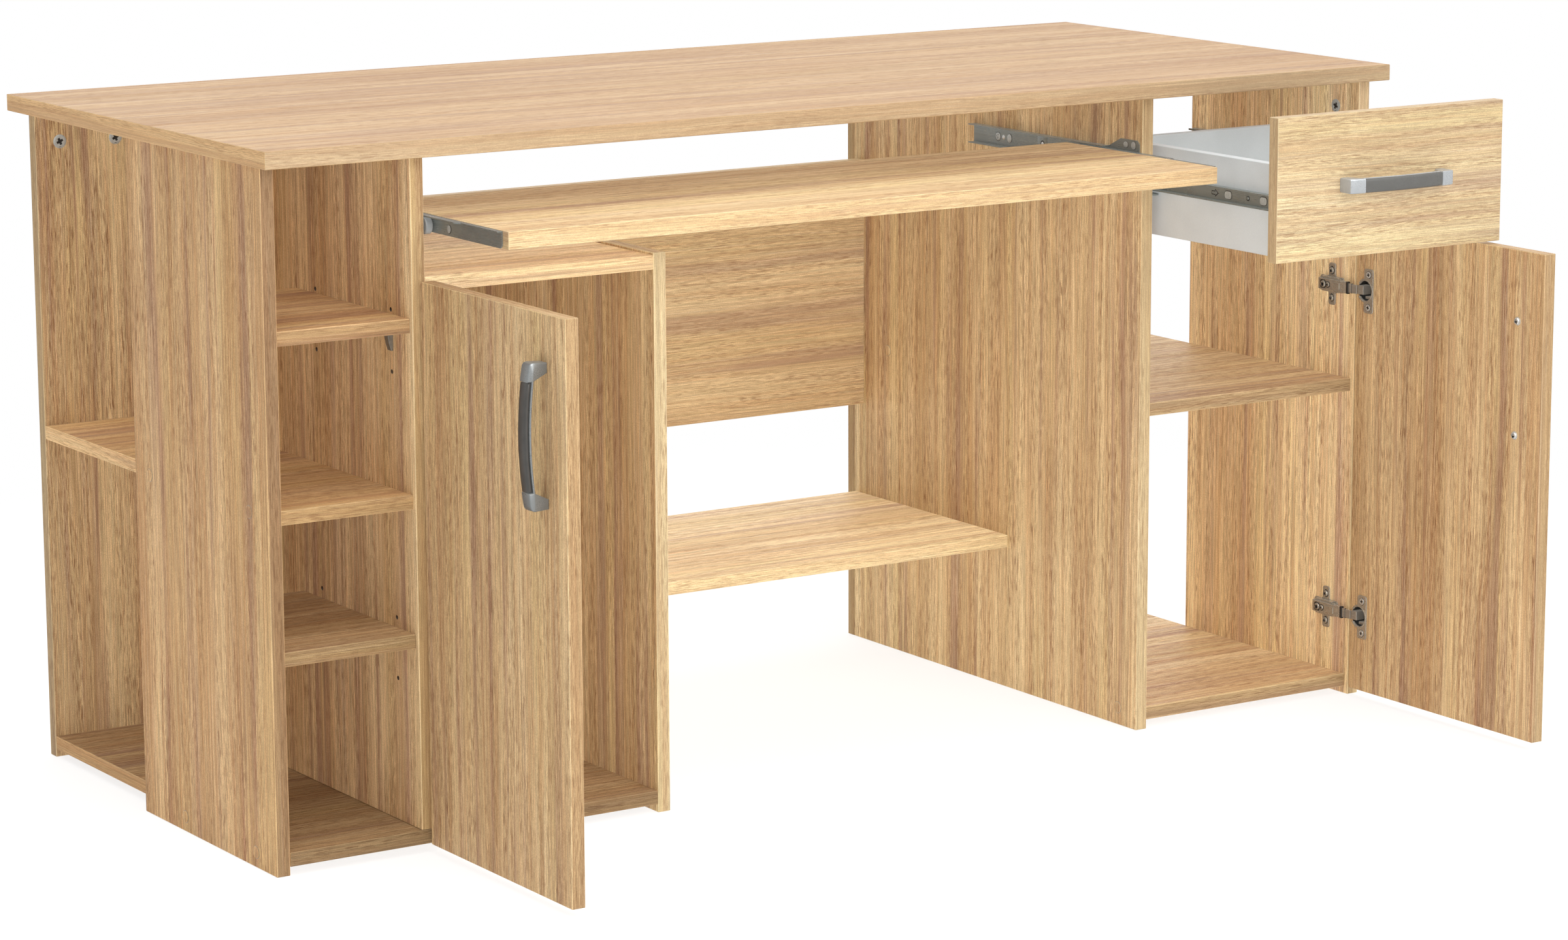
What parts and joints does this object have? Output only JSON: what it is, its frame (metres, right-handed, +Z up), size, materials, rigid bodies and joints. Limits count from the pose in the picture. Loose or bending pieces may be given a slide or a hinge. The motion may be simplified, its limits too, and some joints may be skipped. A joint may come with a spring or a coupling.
{
  "type": "computer desk",
  "caption": "Wood-look computer desk with a side bookcase, a door cabinet, a drawer over a door cupboard, a pull-out keyboard tray, a modesty panel and a foot shelf.",
  "frame": {"origin": "bottom centre of the bounding box at rest, with both doors, the drawer and the tray open", "axes": "+X along the desk to the user's right, +Y to the back, +Z up"},
  "size_m": [1.4402, 0.9162, 0.74],
  "materials": {
    "oak_board": "wood-print melamine board with a fine grain and edge banding, satin",
    "grey_board": "light grey coated board, matt",
    "zinc_steel": "zinc-plated sheet steel, satin",
    "nickel": "nickel-plated steel, semi-bright",
    "satin_silver": "satin silver",
    "dark_grip": "dark grey, finely textured",
    "roller": "dark moulded roller"
  },
  "bodies": {
    "carcass": {"desk_top": "oak_board", "left_side_panel": "oak_board", "left_divider": "oak_board", "cabinet_inner_side": "oak_board", "centre_right_panel": "oak_board", "right_side_panel": "oak_board", "left_rear_panel": "oak_board", "right_rear_panel": "oak_board", "left_bottom_board": "oak_board", "left_middle_shelf": "oak_board", "bookcase_back_upper": "oak_board", "bookcase_back_lower": "oak_board", "bookcase_shelf_upper": "oak_board", "bookcase_shelf_lower": "oak_board", "cabinet_top": "oak_board", "modesty_panel": "oak_board", "foot_shelf": "oak_board", "right_bottom_board": "oak_board", "right_middle_shelf": "oak_board", "left_hinge_lower_plate": "nickel", "left_hinge_lower_arm": "nickel", "left_hinge_upper_plate": "nickel", "left_hinge_upper_arm": "nickel", "right_hinge_lower_plate": "nickel", "right_hinge_lower_arm": "nickel", "right_hinge_upper_plate": "nickel", "right_hinge_upper_arm": "nickel", "drawer_slide_left_outer": "zinc_steel", "drawer_slide_right_outer": "zinc_steel", "tray_slide_left_rail": "zinc_steel", "tray_slide_right_rail": "zinc_steel"},
    "left_door": {"left_door": "oak_board", "left_door_handle": "satin_silver", "left_door_handle_grip": "dark_grip", "left_hinge_lower_cup": "nickel", "left_hinge_upper_cup": "nickel"},
    "right_door": {"right_door": "oak_board", "right_door_handle": "satin_silver", "right_door_handle_grip": "dark_grip", "right_hinge_lower_cup": "nickel", "right_hinge_upper_cup": "nickel"},
    "drawer": {"drawer_front": "oak_board", "drawer_side_left": "grey_board", "drawer_side_right": "grey_board", "drawer_back": "grey_board", "drawer_bottom": "grey_board", "drawer_handle": "satin_silver", "drawer_handle_grip": "dark_grip", "drawer_slide_left_inner": "zinc_steel", "drawer_slide_right_inner": "zinc_steel"},
    "drawer_ball_cages": {"drawer_slide_left_cage": "zinc_steel", "drawer_slide_right_cage": "zinc_steel"},
    "keyboard_tray": {"keyboard_tray": "oak_board", "tray_slide_left_runner": "zinc_steel", "tray_slide_right_runner": "zinc_steel"},
    "tray_front_rollers": {"tray_slide_left_front_roller": "roller", "tray_slide_right_front_roller": "roller"},
    "tray_rear_rollers": {"tray_slide_left_rear_roller": "roller", "tray_slide_right_rear_roller": "roller"}
  },
  "joints": [
    {"name": "left_door_hinge", "type": "hinge", "parent": "carcass", "child": "left_door", "pos_m": [-0.5311, -0.14685, 0], "axis": [0, 0, 1], "range_deg": [-5, 90]},
    {"name": "right_door_hinge", "type": "hinge", "parent": "carcass", "child": "right_door", "pos_m": [0.6894, -0.14915, 0], "axis": [0, 0, 1], "range_deg": [-90, 5]},
    {"name": "drawer_slide", "type": "slide", "parent": "carcass", "child": "drawer", "axis": [0, -1, 0], "range_m": [-0.209, 0.015]},
    {"name": "drawer_cage_slide", "type": "slide", "parent": "carcass", "child": "drawer_ball_cages", "axis": [0, -1, 0], "range_m": [-0.1046, 0.0076]},
    {"name": "tray_slide", "type": "slide", "parent": "carcass", "child": "keyboard_tray", "axis": [0, -1, 0], "range_m": [-0.15, 0.045]},
    {"name": "tray_front_roller_spin", "type": "hinge", "parent": "carcass", "child": "tray_front_rollers", "pos_m": [-0.5191, -0.12915, 0.649], "axis": [1, 0, 0], "range_deg": [-956, 287]},
    {"name": "tray_rear_roller_spin", "type": "hinge", "parent": "keyboard_tray", "child": "tray_rear_rollers", "pos_m": [-0.5191, -0.02185, 0.6498], "axis": [1, 0, 0], "range_deg": [-1012, 304]}
  ],
  "couplings": [
    {"joint": "drawer_cage_slide", "follows": "drawer_slide", "ratio": 0.5},
    {"joint": "tray_front_roller_spin", "follows": "tray_slide", "rad_per_m": 111.11},
    {"joint": "tray_rear_roller_spin", "follows": "tray_slide", "rad_per_m": 117.65}
  ]
}
